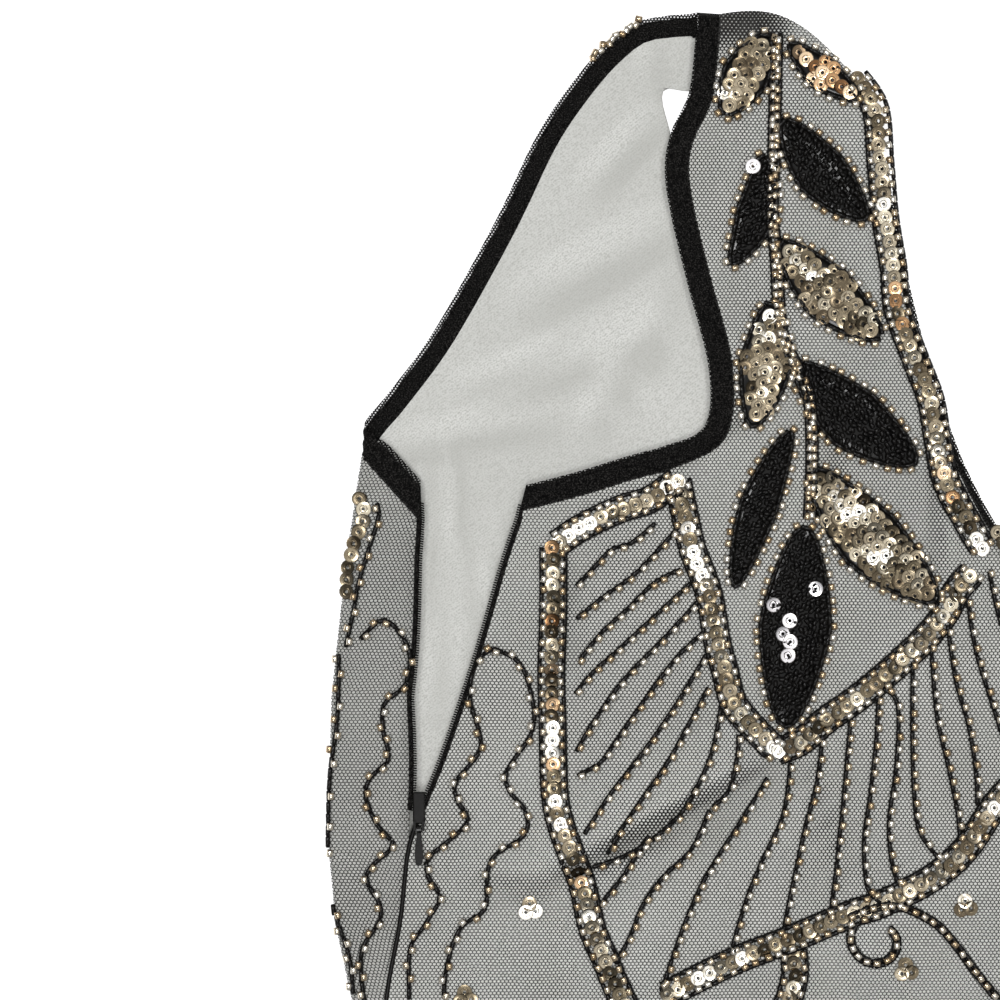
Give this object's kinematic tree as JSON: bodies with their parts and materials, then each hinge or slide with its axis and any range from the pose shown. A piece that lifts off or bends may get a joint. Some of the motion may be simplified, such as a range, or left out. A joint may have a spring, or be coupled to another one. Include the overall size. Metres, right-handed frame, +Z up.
{
  "type": "evening dress laid flat",
  "caption": "Sleeveless V-neck evening dress laid flat, beaded black net over a pale lining, side zip partly open.",
  "frame": {"origin": "centre of the laid-out dress on the surface it lies on, halfway between shoulder and hem", "axes": "+Y from hem to shoulder, +X to the right of someone who looks down on the front, +Z up from the surface"},
  "size_m": [0.5794, 1.3001, 0.0093],
  "materials": {
    "net": "black net",
    "lining": "pale crepe",
    "binding": "black net, folded and stitched",
    "zip": "black gloss",
    "gold": "metallic sequins",
    "beads": "glossy beads"
  },
  "bodies": {
    "dress": {"front_net": "net", "back_net": "net", "front_lining": "lining", "back_lining": "lining", "binding_left_front": "binding", "binding_left_back": "binding", "binding_right_front": "binding", "binding_right_back": "binding", "neck_edge_front": "binding", "neck_edge_back": "binding", "zip_tape_front": "binding", "zip_tape_back": "binding", "zip_slider": "zip", "leaf_left_01": "gold", "leaf_left_02": "gold", "leaf_left_03": "beads", "leaf_left_04": "beads", "leaf_left_05": "gold", "leaf_left_06": "gold", "leaf_left_07": "beads", "leaf_left_08": "beads", "leaf_left_09": "gold", "leaf_left_10": "beads", "leaf_right_01": "gold", "leaf_right_02": "gold", "leaf_right_03": "beads", "leaf_right_04": "beads", "leaf_right_05": "gold", "leaf_right_06": "gold", "leaf_right_07": "beads", "leaf_right_08": "beads", "leaf_right_09": "gold", "leaf_right_10": "beads"},
    "pull": {"zip_pull": "zip"}
  },
  "joints": [
    {"name": "pull_swing", "type": "hinge", "parent": "dress", "child": "pull", "pos_m": [-0.1969, 0.3668, 0.00665], "axis": [-1, 0, 0], "range_deg": [0, 165]}
  ]
}
